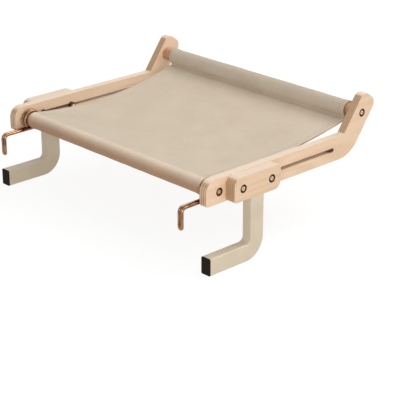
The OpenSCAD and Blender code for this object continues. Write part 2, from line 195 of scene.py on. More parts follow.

# Plated metals, and painted shade on the rim of the bolt heads by the distance from their axis
INSERT_BRONZE = {
    "bright": (0.74, 0.56, 0.40, 1.0), "dull": (0.56, 0.40, 0.27, 1.0), "metallic": 1.0,
    "rough": (0.28, 0.44),
}
BOLT_BRONZE = {
    "bright": (0.84, 0.66, 0.49, 1.0), "dull": (0.68, 0.51, 0.36, 1.0), "metallic": 1.0,
    "rough": (0.28, 0.44),
}
NUT_BRONZE = {
    "bright": (0.17, 0.095, 0.050, 1.0), "dull": (0.10, 0.055, 0.028, 1.0), "metallic": 1.0,
    "rough": (0.30, 0.46),
}
DARK_OXIDE = {
    "bright": (0.055, 0.022, 0.007, 1.0), "dull": (0.035, 0.014, 0.0045, 1.0), "metallic": 0.0,
    "rough": (0.6, 0.8), "shine": 0.02,
}
TARNISH_SCALE = 420.0
SCUFF_SCALE = (5200.0, 5200.0, 900.0)
METAL_WEAR = (0.5, 0.5)
SCUFF_BUMP = (0.00002, 0.4)
HEAD_RIM = (0.0031, 0.0039)
HEAD_RIM_SHADE_SHARE = 0.90
HEAD_RIM_PAINTED_SHADE = (0.10, 0.040, 0.010, 1.0)

# Copper plating of the wire
COPPER_BRIGHT = (0.37, 0.175, 0.070, 1.0)
COPPER_BROWN = (0.13, 0.052, 0.017, 1.0)
# Dark edge tint: painted dark reflections at grazing angles
COPPER_EDGE_PAINTED_DARK = (0.10, 0.045, 0.03, 1.0)
COPPER_PATCH_SCALE = 70.0
DRAW_SCALE = (2400.0, 300.0, 300.0)
DRAW_BUMP = (0.00003, 0.35)
COPPER_ROUGH = (0.17, 0.28)
COPPER_COAT = {"Coat_Weight": 1.0, "Coat_Roughness": 0.10, "Coat_IOR": 1.5}

# Canvas and sewing thread
CANVAS_PALE = (0.71, 0.605, 0.475, 1.0)
CANVAS_DEEP = (0.60, 0.50, 0.385, 1.0)
# Painted shade between the threads, where they dip low
CANVAS_GAP_SHADE = (0.24, 0.185, 0.125, 1.0)
CANVAS_PITCH = 0.0011
THREAD_DIP = 0.45
GAP_TOP = 0.45
GAP_SHADE_SHARE = 0.45
WARP_SLUB = (760.0, 26.0, 1.0)
WEFT_SLUB = (26.0, 760.0, 1.0)
CANVAS_CLOUD_SCALE = 16.0
FUZZ_SCALE = 5200.0
CANVAS_TONE = (0.65, 0.35)
WEAVE_RELIEF = (1.0, 0.3, 0.3)
WEAVE_BUMP = (0.00030, 0.55)
CANVAS_FINISH = {"Roughness": 0.88, "Sheen_Weight": 0.20, "Sheen_Roughness": 0.5}
THREAD_PALE = (0.60, 0.50, 0.37, 1.0)
THREAD_DEEP = (0.46, 0.37, 0.26, 1.0)
TWIST_SCALE = 2600.0
TWIST_BUMP = (0.00015, 0.6)
THREAD_ROUGH = 0.75

# Painted light on the cloth over a bar, for how the lamps fall there: its two colours, where one turns into
# the other, and its fade at the edges
# Front sleeve: a painted highlight on its ridge, and browner painted shade further down its front
FRONT_PAINTED_LIGHT = {
    "ridge": (1.20, 1.20, 1.22, 1.0), "deep": (0.76, 0.54, 0.42, 1.0), "turn": (0.006, 0.027),
    "fade": 0.004,
}
# Rear sleeve: painted shade, darkest over its top and back
REAR_PAINTED_SHADE = {
    "ridge": (0.78, 0.78, 0.76, 1.0), "deep": (0.96, 0.97, 1.00, 1.0), "turn": (0.034, 0.066),
    "fade": 0.012,
}

# Sling: a band of canvas sewn into a loop round both bars, with the way (y, z) that each sleeve is pulled
CLOTH_UV = "cloth"
SLING_HALF_W = 0.227
SEAT_RADIUS = 0.77854
CLOTH_T = 0.00105
LAYER_RISE = 0.0011
SLEEVE_MID = 0.0135
SLEEVE_R = SLEEVE_MID + LAYER_RISE
SLEEVE_AIR = 0.0001
FRONT_PULL = Vector((0.8, -0.6))
REAR_PULL = Vector((-0.8, -0.6))
FILLET_R = 0.0025
SEAT_STEP = 0.0040
SLEEVE_STEP = 0.0016
FILLET_STEP = 0.0007
CLOTH_COLUMN = 0.0050
HEM_W = 0.0100
HEM_RISE = 0.00045
HEM_SLOPE = 0.0008
HEM_COLUMNS = (-HEM_SLOPE, 0.0, 0.003, 0.0065)
EDGE_POINTS = 3

# How the cloth hangs: sag, curled edges, waves, ripples beside the bars, puckers, skew, drawn-in edges
CENTRE_SAG = 0.0030
EDGE_CURL = 0.0014
CURL_FROM = 0.86
WAVE_HEIGHT = 0.0011
WAVE_SCALE = (9.0, 6.0)
WAVE_SEED = 2.7
RIPPLE_HEIGHT = 0.0007
RIPPLE_SCALE = (42.0, 5.0)
RIPPLE_SEED = 9.1
RIPPLE_FROM = (0.012, 0.022)
RIPPLE_REACH = 0.055
PUCKER_HEIGHT = 0.00045
PUCKER_SCALE = 38.0
PUCKER_TURN = 0.8
PUCKER_BASE = 0.35
REAR_SKEW = 0.0040
EDGE_DRAW = 0.022

# Stitching, with the place, lift and thickness of a stitch's thread as shares
STITCH_LONG = 0.0030
STITCH_PITCH = 0.0040
STITCH_THICK = 0.00055
HEM_STITCH_IN = 0.0080
SEAM_STITCH_OFF = 0.0040
STITCH_SIDES = 6
STITCH_PROFILE = (
    (-0.5, -0.9, 0.35), (-0.38, 0.1, 0.85), (0.0, 0.35, 1.0), (0.38, 0.1, 0.85), (0.5, -0.9, 0.35),
)


class Graph:
    """Shader nodes, wired by short calls."""

    def __init__(self, tree):
        self.tree = tree

    def node(self, kind, **settings):
        made = self.tree.nodes.new(kind)
        for key, value in settings.items():
            setattr(made, key, value)
        return made

    def put(self, socket, value):
        """Links another node's socket, or sets a plain value."""
        if isinstance(value, bpy.types.NodeSocket):
            self.tree.links.new(value, socket)
        else:
            socket.default_value = value

    def place(self):
        return self.node("ShaderNodeTexCoord").outputs["Object"]

    def split(self, vector):
        made = self.node("ShaderNodeSeparateXYZ")
        self.put(made.inputs[0], vector)
        return made.outputs

    def join(self, x, y, z):
        made = self.node("ShaderNodeCombineXYZ")
        for socket, value in zip(made.inputs, (x, y, z)):
            self.put(socket, value)
        return made.outputs[0]

    def math(self, operation, a, b=0.0):
        made = self.node("ShaderNodeMath", operation=operation)
        self.put(made.inputs[0], a)
        self.put(made.inputs[1], b)
        return made.outputs[0]

    def sum(self, weights, *values):
        """Adds up values, each times its weight, which come in the same order."""
        total = 0.0
        for value, weight in zip(values, weights):
            total = self.math("ADD", total, self.math("MULTIPLY", value, weight))
        return total

    def pick(self, share, a, b):
        """Value b, which goes over to a by that share."""
        return self.math("ADD", b, self.math("MULTIPLY", share, self.math("SUBTRACT", a, b)))

    def stretch(self, vector, scale):
        made = self.node("ShaderNodeVectorMath", operation="MULTIPLY")
        self.put(made.inputs[0], vector)
        self.put(made.inputs[1], scale)
        return made.outputs[0]

    def noise(self, vector, scale=1.0, detail=2.0, roughness=0.5):
        made = self.node("ShaderNodeTexNoise")
        self.put(made.inputs["Vector"], vector)
        self.put(made.inputs["Scale"], scale)
        self.put(made.inputs["Detail"], detail)
        self.put(made.inputs["Roughness"], roughness)
        return made.outputs[0]

    def ramp(self, value, low, high, to_low=0.0, to_high=1.0):
        """Smooth step from to_low at low to to_high at high."""
        made = self.node("ShaderNodeMapRange", interpolation_type="SMOOTHSTEP")
        for socket, number in zip(made.inputs, (value, low, high, to_low, to_high)):
            self.put(socket, number)
        return made.outputs[0]

    def mix(self, share, a, b, blend="MIX"):
        made = self.node("ShaderNodeMix", data_type="RGBA", blend_type=blend)
        colours = [s for s in made.inputs if s.type == "RGBA"]
        self.put(made.inputs[0], share)
        self.put(colours[0], a)
        self.put(colours[1], b)
        return [s for s in made.outputs if s.type == "RGBA"][0]

    def stain(self, colour, share, most, other):
        """Mixes another colour in by a share, scaled to the most there may be of it."""
        return self.mix(self.math("MULTIPLY", share, most), colour, other)


class Material(Graph):
    """The nodes of one material, round the plain shader."""

    def __init__(self, name):
        self.material = bpy.data.materials.new(name)
        self.material.use_nodes = True
        super().__init__(self.material.node_tree)
        self.shader = self.tree.nodes["Principled BSDF"]

    def bump(self, height, distance, strength):
        """Gives the shader a relief, with the depth of a full height and how strongly it shows."""
        made = self.node("ShaderNodeBump")
        self.put(made.inputs["Height"], height)
        self.put(made.inputs["Distance"], distance)
        self.put(made.inputs["Strength"], strength)
        self.put(self.shader.inputs["Normal"], made.outputs[0])

    def finish(self, **sockets):
        """Sets the shader's sockets, named with _ for a space, and gives the material."""
        for key, value in sockets.items():
            self.put(self.shader.inputs[key.replace("_", " ")], value)
        return self.material


def wood_figure(g, place, scale, lines):
    """Wavy growth figure, from the contour lines of a slow noise."""
    slow = g.noise(g.stretch(place, scale), detail=1.0)
    return g.ramp(g.math("SINE", g.math("MULTIPLY", slow, lines)), -1.0, 1.0)


def reach(g, a, b):
    """Length of the vector with those two parts."""
    return g.math("SQRT", g.math("ADD", g.math("MULTIPLY", a, a), g.math("MULTIPLY", b, b)))


def nearest_axis(g, y, z, axes):
    """Distance from the nearest of some axes along X."""
    nearest = FAR_OFF
    for at_y, at_z in axes:
        far = reach(g, g.math("SUBTRACT", y, at_y), g.math("SUBTRACT", z, at_z))
        nearest = g.math("MINIMUM", far, nearest)
    return nearest


def cut_walls(g, y, z, bores, slot_z):
    """Raw walls of counterbores and slot, and the painted shade on them: the slot's most at its rear end.
    """
    past_bore = g.math("SUBTRACT", nearest_axis(g, y, z, bores), BORE_R)
    bore = g.ramp(past_bore, *BORE_RIM, BORE_PAINTED_SHADE, 0.0)
    if slot_z is None:
        return bore, bore
    short = g.math("MAXIMUM", g.math("SUBTRACT", SLOT_FROM, y), g.math("SUBTRACT", y, SLOT_TO))
    far = reach(g, g.math("MAXIMUM", short, 0.0), g.math("SUBTRACT", z, slot_z))
    slot = g.ramp(g.math("SUBTRACT", far, SLOT_R), *SLOT_RIM, 1.0, 0.0)
    depth = g.ramp(y, END_SHADE_FROM, SLOT_TO, SLOT_PAINTED_SHADE, SLOT_END_PAINTED_SHADE)
    painted_shade = g.math("MAXIMUM", bore, g.math("MULTIPLY", slot, depth))
    return g.math("MAXIMUM", bore, slot), painted_shade


def ply_layers(g, x, node, plies):
    """Number of the ply, 1 for a crosswise one, and 1 on a glue line. Both face veneers are thinner."""
    low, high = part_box(node)
    missing = 1.0 - FACE_PLY
    ply_t = (high.x - low.x) / (plies - 2 * missing)
    depth = g.math("SUBTRACT", g.math("ABSOLUTE", x), low.x - ply_t * missing)
    depth = g.math("DIVIDE", depth, ply_t)
    layer = g.math("FLOOR", depth)
    off_middle = g.math("ABSOLUTE", g.math("SUBTRACT", g.math("FRACT", depth), 0.5))
    return layer, g.math("MODULO", layer, 2.0), g.ramp(off_middle, *GLUE_SPAN)


def cut_ends(g, cross, cross_share):
    """How much end grain and sawn edge show: crosswise plies end above and below, the others in front."""
    normal = g.split(g.node("ShaderNodeTexCoord").outputs["Normal"])
    upward = g.math("ABSOLUTE", normal[2])
    front = g.ramp(g.math("ABSOLUTE", normal[1]), *FACING_FRONT)
    top = g.ramp(upward, *FACING_UP)
    sloped = g.math("MULTIPLY", front, g.ramp(upward, *FACING_SLOPE))
    short = g.math("MULTIPLY", g.math("MULTIPLY", top, cross), TOP_END_GRAIN)
    long = g.math("SUBTRACT", 1.0, g.math("MULTIPLY", cross, 1.0 - cross_share))
    end = g.math("ADD", short, g.math("MULTIPLY", front, long))
    return g.math("MAXIMUM", end, g.math("MULTIPLY", sloped, SLOPED_GRAIN)), top


def plywood(name, node, look, bores, slot_z=None):
    """Birch plywood under satin lacquer: veneer with fine grain, plies and glue lines on the edges."""
    g = Material(name)
    x, y, z = g.split(g.place())
    layer, cross, glue = ply_layers(g, x, node, look["plies"])
    end_grain, sawn = cut_ends(g, cross, look["cross_share"])
    raw, painted_shade = cut_walls(g, y, z, bores, slot_z)
    own = g.join(g.math("MULTIPLY", layer, PLY_SHIFT), y, z)
    fibre = g.noise(g.stretch(own, PLY_FIBRE), detail=3.0, roughness=0.6)
    figure = wood_figure(g, own, PLY_FIGURE, PLY_FIGURE_LINES)
    cloud = g.noise(g.stretch(own, PLY_CLOUD), detail=2.0)
    pore = g.ramp(g.noise(g.stretch(own, PLY_PORES), detail=1.0), *PLY_PORE_SPAN)
    tone = g.sum(PLY_TONE, fibre, figure, cloud)
    colour = g.mix(g.ramp(tone, *PLY_TONE_SPAN), look["pale"], look["deep"])
    colour = g.stain(colour, pore, PLY_PORE_SHARE, PLY_PORE)
    colour = g.stain(colour, sawn, SAWN_SHARE, SAWN_EDGE)
    colour = g.stain(colour, end_grain, END_SHARE, END_GRAIN)
    colour = g.stain(colour, glue, GLUE_SHARE, GLUE_LINE)
    # Painted shade on the walls of the slot and the counterbores
    colour = g.mix(painted_shade, colour, PAINTED_CUT_SHADE)
    g.bump(g.sum(PLY_RELIEF, fibre, pore, glue), *WOOD_BUMP)
    sound = g.math("SUBTRACT", 1.0, raw)
    return g.finish(
        Base_Color=colour, Roughness=g.ramp(fibre, *FIBRE_SPAN, *PLY_ROUGH),
        Specular_IOR_Level=g.math("MULTIPLY", sound, SHINE),
        Coat_Weight=g.math("MULTIPLY", sound, LACQUER), Coat_Roughness=LACQUER_ROUGH,
    )


def bar_wood():
    """Turned hardwood, warm orange brown, with its grain along the bar."""
    g = Material("bar_wood_oiled")
    place = g.place()
    fibre = g.noise(g.stretch(place, BAR_FIBRE), detail=3.0, roughness=0.6)
    figure = wood_figure(g, place, BAR_FIGURE, BAR_FIGURE_LINES)
    pore = g.ramp(g.noise(g.stretch(place, BAR_PORES), detail=1.0), *BAR_PORE_SPAN)
    tone = g.sum(BAR_TONE, fibre, figure)
    colour = g.mix(g.ramp(tone, *BAR_TONE_SPAN), BAR_PALE, BAR_DEEP)
    colour = g.stain(colour, pore, BAR_PORE_SHARE, BAR_PORE)
    g.bump(g.math("SUBTRACT", fibre, pore), *WOOD_BUMP)
    return g.finish(Base_Color=colour, Roughness=g.ramp(fibre, *FIBRE_SPAN, *BAR_ROUGH))


def cream_paint():
    """Satin powder coat with a fine orange peel."""
    g = Material("cream_powder_coat")
    place = g.place()
    peel = g.noise(place, PEEL_SCALE, detail=2.0)
    speck = g.ramp(g.noise(place, SPECK_SCALE, detail=0.0), *SPECK_SPAN)
    cloud = g.noise(place, PAINT_CLOUD_SCALE, detail=2.0)
    colour = g.mix(g.ramp(cloud, *NOISE_SPAN), PAINT_PALE, PAINT_DEEP)
    colour = g.stain(colour, speck, PAINT_SPECK_SHARE, PAINT_SPECK)
    g.bump(peel, *PEEL_BUMP)
    return g.finish(Base_Color=colour, Roughness=g.ramp(cloud, *NOISE_SPAN, *PAINT_ROUGH))


def black_rubber():
    """Moulded matt rubber with fine pits and paler rubbed spots."""
    g = Material("black_rubber_moulded")
    place = g.place()
    pits = g.noise(place, PIT_SCALE, detail=2.0)
    rub = g.ramp(g.noise(place, RUB_SCALE, detail=3.0), *RUB_SPAN)
    colour = g.stain(RUBBER_BLACK, rub, RUBBED_SHARE, RUBBER_RUBBED)
    g.bump(pits, *PIT_BUMP)
    rough = g.ramp(pits, *NOISE_SPAN, *RUBBER_ROUGH)
    return g.finish(Base_Color=colour, Roughness=rough, Specular_IOR_Level=RUBBER_SHINE)


def plated_metal(name, bright, dull, metallic, rough, shine=SHINE, heads=()):
    """Plated metal with cloudy tarnish and fine scuffs, with painted shade towards the rims of bolt heads.
    """
    g = Material(name)
    place = g.place()
    cloud = g.noise(place, TARNISH_SCALE, detail=3.0)
    scuff = g.noise(g.stretch(place, SCUFF_SCALE), detail=1.0)
    colour = g.mix(g.ramp(cloud, *TARNISH_SPAN), bright, dull)
    if heads:
        _, y, z = g.split(place)
        # Painted shade on the rims of the bolt heads
        rim_shade = g.ramp(nearest_axis(g, y, z, heads), *HEAD_RIM, 0.0, HEAD_RIM_SHADE_SHARE)
        colour = g.mix(rim_shade, colour, HEAD_RIM_PAINTED_SHADE)
    g.bump(scuff, *SCUFF_BUMP)
    worn = g.ramp(g.sum(METAL_WEAR, cloud, scuff), *NOISE_SPAN, *rough)
    return g.finish(Base_Color=colour, Metallic=metallic, Roughness=worn, Specular_IOR_Level=shine)


def copper_wire():
    """Polished rose-copper plating on the bent wire, with browner patches and a dark edge tint that paints
    dark reflections.
    """
    g = Material("copper_plated_wire")
    place = g.place()
    cloud = g.noise(place, COPPER_PATCH_SCALE, detail=2.0)
    draw = g.noise(g.stretch(place, DRAW_SCALE), detail=2.0)
    colour = g.mix(g.ramp(cloud, *PATCH_SPAN), COPPER_BRIGHT, COPPER_BROWN)
    g.bump(draw, *DRAW_BUMP)
    rough = g.ramp(draw, *NOISE_SPAN, *COPPER_ROUGH)
    return g.finish(
        Base_Color=colour, Metallic=1.0, Roughness=rough, Specular_Tint=COPPER_EDGE_PAINTED_DARK, **COPPER_COAT
    )


def weave(g, uv):
    """Height of a plain weave, and 1 where the warp lies on top, from the cloth's own coordinates."""
    u, v, _ = g.split(uv)
    warp = g.math("SINE", g.math("MULTIPLY", u, math.pi / CANVAS_PITCH))
    weft = g.math("SINE", g.math("MULTIPLY", v, math.pi / CANVAS_PITCH))
    over = g.math("GREATER_THAN", g.math("MULTIPLY", warp, weft), 0.0)
    warp = g.math("ABSOLUTE", warp)
    weft = g.math("ABSOLUTE", weft)
    warp_dip = g.math("ADD", g.math("MULTIPLY", weft, THREAD_DIP), 1.0 - THREAD_DIP)
    weft_dip = g.math("ADD", g.math("MULTIPLY", warp, THREAD_DIP), 1.0 - THREAD_DIP)
    return g.pick(over, g.math("MULTIPLY", warp, warp_dip), g.math("MULTIPLY", weft, weft_dip)), over


def paint_sleeve_light(g, uv, colour, span, shade):
    """Paints light and shade on the cloth over a bar, from the sleeve's last edge back."""
    _, v, _ = g.split(uv)
    start, end = span
    rising = g.ramp(v, start, start + shade["fade"])
    falling = g.ramp(v, end - shade["fade"], end, 1.0, 0.0)
    # Painted highlight or painted shade, by the distance from the sleeve's last edge
    tint = g.mix(g.ramp(g.math("SUBTRACT", end, v), *shade["turn"]), shade["ridge"], shade["deep"])
    return g.mix(g.math("MULTIPLY", rising, falling), colour, tint, "MULTIPLY")


def canvas(sleeves):
    """Plain-woven cotton canvas with uneven threads, from the cloth's own coordinates."""
    g = Material("beige_canvas_weave")
    uv = g.node("ShaderNodeUVMap", uv_map=CLOTH_UV).outputs[0]
    height, over = weave(g, uv)
    warp_slub = g.noise(g.stretch(uv, WARP_SLUB), detail=2.0)
    weft_slub = g.noise(g.stretch(uv, WEFT_SLUB), detail=2.0)
    slub = g.pick(over, warp_slub, weft_slub)
    cloud = g.noise(uv, CANVAS_CLOUD_SCALE, detail=3.0)
    fuzz = g.noise(uv, FUZZ_SCALE, detail=1.0)
    tone = g.sum(CANVAS_TONE, slub, cloud)
    colour = g.mix(g.ramp(tone, *NOISE_SPAN), CANVAS_DEEP, CANVAS_PALE)
    # Painted shade in the gaps of the weave
    colour = g.mix(g.ramp(height, 0.0, GAP_TOP, GAP_SHADE_SHARE, 0.0), colour, CANVAS_GAP_SHADE)
    # Painted light and shade on the cloth over both bars
    for span, shade in sleeves:
        colour = paint_sleeve_light(g, uv, colour, span, shade)
    g.bump(g.sum(WEAVE_RELIEF, height, slub, fuzz), *WEAVE_BUMP)
    return g.finish(Base_Color=colour, **CANVAS_FINISH)


def thread():
    """Twisted sewing thread."""
    g = Material("sewing_thread")
    twist = g.noise(g.place(), TWIST_SCALE, detail=2.0)
    colour = g.mix(g.ramp(twist, *NOISE_SPAN), THREAD_PALE, THREAD_DEEP)
    g.bump(twist, *TWIST_BUMP)
    return g.finish(Base_Color=colour, Roughness=THREAD_ROUGH)


def dress(name, material):
    """Gives a CAD node its finished material."""
    mesh = NODES[name].data
    mesh.materials.clear()
    mesh.materials.append(material)


def round_edges(name, width):
    """Rounds a CAD node's edges with modifiers, so that its own mesh stays as packed."""
    stack = NODES[name].modifiers
    weld = stack.new("weld", "WELD")
    weld.merge_threshold = WELD_REACH
    flat = stack.new("flat", "DECIMATE")
    flat.decimate_type = "DISSOLVE"
    flat.angle_limit = FLAT_WITHIN
    bevel = stack.new("round", "BEVEL")
    bevel.width = width
    bevel.segments = ROUND_STEPS
    bevel.limit_method = "ANGLE"
    bevel.angle_limit = SHARP_FROM
    even = stack.new("even", "WEIGHTED_NORMAL")
    even.keep_sharp = False


def bar_axis(name):
    """Axis (y, z) and radius of a crossbar."""
    low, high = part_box(name)
    axis = Vector(((low.y + high.y) / 2, (low.z + high.z) / 2))
    return axis, (high.z - low.z) / 2


def bolt_row(name):
    """Axes (y, z) of two equal bolts in a row, from the box round their heads."""
    low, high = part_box(name)
    head_r = (high.z - low.z) / 2
    z = (low.z + high.z) / 2
    return [Vector((low.y + head_r, z)), Vector((high.y - head_r, z))]


def dress_frame():
    """Finished materials and soft edges of the CAD nodes that stay."""
    arm_bores = [bar_axis(name)[0] for name in BARS]
    clamps = bolt_row("right_clamp_bolts")
    cream = cream_paint()
    bars = bar_wood()
    bolts = plated_metal("antique_bronze_bolts", **BOLT_BRONZE, heads=arm_bores + clamps)
    nuts = plated_metal("dark_bronze_nuts", **NUT_BRONZE)
    dark = plated_metal("dark_oxide_steel", **DARK_OXIDE)
    middle = {
        "front_crossbar": bars, "rear_crossbar": bars, "crossbar_bolts": bolts, "crossbar_washers": dark,
        "crossbar_inserts": plated_metal("antique_bronze", **INSERT_BRONZE),
    }
    sided = {
        "arm": plywood("birch_plywood_arm", "right_arm", ARM_PLY, arm_bores, clamps[0].y),
        "slider_block": plywood("birch_plywood_block", "right_slider_block", BLOCK_PLY, clamps),
        "leg_tube": cream, "leg_bracket": cream, "foot_cap": black_rubber(), "hook": copper_wire(),
        "clamp_bolts": bolts, "head_washers": dark, "clamp_nuts": nuts, "nut_washers": nuts,
    }
    for name, material in middle.items():
        dress(name, material)
    for side in SIDES:
        for part, material in sided.items():
            dress(f"{side}_{part}", material)
        for part, width in ROUNDED.items():
            round_edges(f"{side}_{part}", width)


def mesh_piece(name, points, faces, material, body):
    """A smooth mesh piece that rides on a body."""
    mesh = bpy.data.meshes.new(name)
    mesh.from_pydata(points, [], faces)
    mesh.polygons.foreach_set("use_smooth", [True] * len(mesh.polygons))
    mesh.materials.append(material)
    piece = bpy.data.objects.new(name, mesh)
    bpy.context.scene.collection.objects.link(piece)
    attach(piece, body)
    return piece


def smooth_step(low, high, value):
    share = min(max((value - low) / (high - low), 0.0), 1.0)
    return share * share * (3 - 2 * share)


def angle_of(vector):
    return math.atan2(vector.y, vector.x)


def meet(a, reach_a, b, reach_b, side):
    """The point at those distances from a and b, to the left of a to b for side 1, else to the right."""
    gap = (b - a).length
    ahead = (b - a) / gap
    along = (reach_a ** 2 - reach_b ** 2 + gap ** 2) / (2 * gap)
    off = math.sqrt(reach_a ** 2 - along ** 2)
    return a + ahead * along + Vector((-ahead.y, ahead.x)) * off * side


def arc(centre, radius, start, end, step, turn):
    """Points with outward normals along an arc, its last point left to the next arc."""
    count = max(2, round(abs(end - start) * radius / step))
    made = []
    for i in range(count):
        a = start + (end - start) * i / count
        out = Vector((math.cos(a), math.sin(a)))
        made.append((centre + out * radius, out * turn))
    return made


class Loop:
    """The sling's path in the (y, z) plane: seat top, rear sleeve, seat bottom, front sleeve.

    A value that ends in _at is the number of the point where a stretch starts.
    """

    def __init__(self):
        front, bar_r = bar_axis("front_crossbar")
        rear, _ = bar_axis("rear_crossbar")
        slack = SLEEVE_R - CLOTH_T - bar_r - SLEEVE_AIR
        self.front = front + FRONT_PULL * slack
        self.rear = rear + REAR_PULL * slack
        self.centre = meet(self.front, SEAT_RADIUS + SLEEVE_MID, self.rear, SEAT_RADIUS - SLEEVE_MID, 1)
        self.points = []
        self.lay_top()
        self.lay_bottom()
        self.measure()

    def lay_top(self):
        """The seat from the front bar to the rear bar, and the sleeve round the rear bar."""
        centre, rear = self.centre, self.rear
        top_r = SEAT_RADIUS - LAYER_RISE
        tuck = meet(centre, top_r - FILLET_R, rear, SLEEVE_R + FILLET_R, -1)
        top_to = angle_of(tuck - centre)
        rear_from = angle_of(tuck - rear) % FULL_TURN
        self.points += arc(centre, top_r, angle_of(self.front - centre), top_to, SEAT_STEP, -1)
        self.tuck_at = len(self.points)
        self.points += arc(tuck, FILLET_R, top_to, angle_of(rear - tuck), FILLET_STEP, -1)
        self.rear_at = len(self.points)
        self.points += arc(rear, SLEEVE_R, rear_from, angle_of(rear - centre), SLEEVE_STEP, 1)
        self.low_at = len(self.points)

    def lay_bottom(self):
        """The underside from the rear bar to the front bar, and the sleeve round the front bar."""
        centre, front = self.centre, self.front
        low_r = SEAT_RADIUS + LAYER_RISE
        fold = meet(centre, low_r + FILLET_R, front, SLEEVE_R + FILLET_R, 1)
        low_to = angle_of(fold - centre)
        fold_to = angle_of(front - fold) % FULL_TURN
        front_to = angle_of(centre - front) - FULL_TURN
        self.points += arc(centre, low_r, angle_of(self.rear - centre), low_to, SEAT_STEP, 1)
        self.fold_at = len(self.points)
        self.points += arc(fold, FILLET_R, angle_of(centre - fold), fold_to, FILLET_STEP, -1)
        self.front_at = len(self.points)
        self.points += arc(front, SLEEVE_R, angle_of(fold - front), front_to, SLEEVE_STEP, 1)

    def measure(self):
        """Length along the loop at each point, with the length once round as the last one."""
        self.lengths = [0.0]
        for i, (here, _) in enumerate(self.points):
            ahead, _ = self.points[(i + 1) % len(self.points)]
            self.lengths.append(self.lengths[-1] + (ahead - here).length)
        self.length = self.lengths[-1]

    def sleeve_lengths(self):
        """Where the rear and the front sleeve start and end along the loop."""
        rear = (self.lengths[self.rear_at], self.lengths[self.low_at])
        return rear, (self.lengths[self.front_at], self.length)

    def bulge(self, i):
        """1 in the middle of a sleeve, 0 at its edges and between the sleeves."""
        for start, end in ((self.rear_at, self.low_at), (self.front_at, len(self.points))):
            if start <= i < end:
                return math.sin(math.pi * ((i - start) / (end - start)))
        return 0.0

    def share(self, y):
        """0 at the front bar, 1 at the rear bar."""
        return (y - self.front.x) / (self.rear.x - self.front.x)


def wrinkle(x, y, scale, seed):
    return noise.noise(Vector((x * scale[0], y * scale[1], seed)))


def seat_shift(loop, x, y):
    """How far the cloth between the bars lies below or above its plain arc."""
    share = loop.share(y)
    if not 0 < share < 1:
        return 0.0
    free = math.sin(math.pi * share)
    side = abs(x) / SLING_HALF_W
    sag = -CENTRE_SAG * free * (1 - side * side)
    curl = EDGE_CURL * free * smooth_step(CURL_FROM, 1.0, side)
    wave = WAVE_HEIGHT * free * wrinkle(x, y, WAVE_SCALE, WAVE_SEED)
    near = min(y - loop.front.x, loop.rear.x - y)
    near_bar = smooth_step(*RIPPLE_FROM, near) * math.exp(-near / RIPPLE_REACH)
    ripple = RIPPLE_HEIGHT * near_bar * wrinkle(x, y, RIPPLE_SCALE, RIPPLE_SEED)
    return sag + curl + wave + ripple


def sleeve_pucker(x, angle):
    """How far the sleeve stands off its bar at this spot."""
    turn = Vector((math.cos(angle), math.sin(angle))) * PUCKER_TURN
    value = noise.noise(Vector((x * PUCKER_SCALE, turn.x, turn.y)))
    return PUCKER_HEIGHT * max(0.0, PUCKER_BASE + value)


def cloth_point(loop, i, x, inside):
    """One point of the cloth's outer or inner face."""
    at, out = loop.points[i]
    rise = sleeve_pucker(x, angle_of(out)) * loop.bulge(i)
    if inside:
        rise -= CLOTH_T
    else:
        hem_from = SLING_HALF_W - HEM_W
        rise += HEM_RISE * smooth_step(hem_from - HEM_SLOPE, hem_from, abs(x))
    spot = at + out * rise
    share = min(max(loop.share(at.x), 0.0), 1.0)
    drawn = x * (1 - EDGE_DRAW * math.sin(math.pi * share)) + REAR_SKEW * share
    return Vector((drawn, spot.x, spot.y + seat_shift(loop, x, at.x)))


def cloth_columns():
    """Places across the cloth, closer together at the hems."""
    inner = SLING_HALF_W - HEM_W
    count = round(2 * inner / CLOTH_COLUMN)
    middle = [-inner + 2 * inner * i / count for i in range(1, count)]
    hem = [inner + step for step in HEM_COLUMNS] + [SLING_HALF_W - CLOTH_T / 2]
    return sorted(set(middle + hem + [-x for x in hem]))


def round_edge(a, b, side):
    """Points of a half circle from a to b that stands out along X."""
    middle = (a + b) / 2
    half = (a - b) / 2
    made = []
    for k in range(1, EDGE_POINTS + 1):
        turn = math.pi * k / (EDGE_POINTS + 1)
        made.append(middle + half * math.cos(turn) + Vector((side * half.length * math.sin(turn), 0, 0)))
    return made


def cloth_section(loop, i, columns):
    """Closed outline of the cloth across the loop: outer face, round edge, inner face, round edge."""
    ring = [cloth_point(loop, i, x, False) for x in columns]
    back = [cloth_point(loop, i, x, True) for x in reversed(columns)]
    right = round_edge(ring[-1], back[0], 1)
    left = round_edge(back[-1], ring[0], -1)
    return ring + right + back + left


def grid_faces(rows, ring):
    """Quads of a closed loop of closed rings."""
    faces = []
    for i in range(rows):
        ahead = (i + 1) % rows
        for j in range(ring):
            beside = (j + 1) % ring
            faces.append((i * ring + j, i * ring + beside, ahead * ring + beside, ahead * ring + j))
    return faces


def cloth_uv(mesh, loop, ring):
    """Cloth coordinates in metres: across the band, and along the loop."""
    layer = mesh.uv_layers.new(name=CLOTH_UV)
    rows = len(loop.points)
    for polygon in mesh.polygons:
        corners = [(c, mesh.loops[c].vertex_index) for c in polygon.loop_indices]
        wraps = {index // ring for _, index in corners} == {0, rows - 1}
        for corner, index in corners:
            row = index // ring
            along = loop.length if wraps and row == 0 else loop.lengths[row]
            layer.data[corner].uv = (mesh.vertices[index].co.x, along)


def make_sling(loop):
    """The cloth itself, as a thin closed band that stands for the CAD solid."""
    columns = cloth_columns()
    rings = [cloth_section(loop, i, columns) for i in range(len(loop.points))]
    ring = len(rings[0])
    points = [p for r in rings for p in r]
    material = canvas(zip(loop.sleeve_lengths(), (REAR_PAINTED_SHADE, FRONT_PAINTED_LIGHT)))
    faces = grid_faces(len(rings), ring)
    sling = mesh_piece("sling_canvas", points, faces, material, "frame")
    cloth_uv(sling.data, loop, ring)
    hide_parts("sling")
    return sling


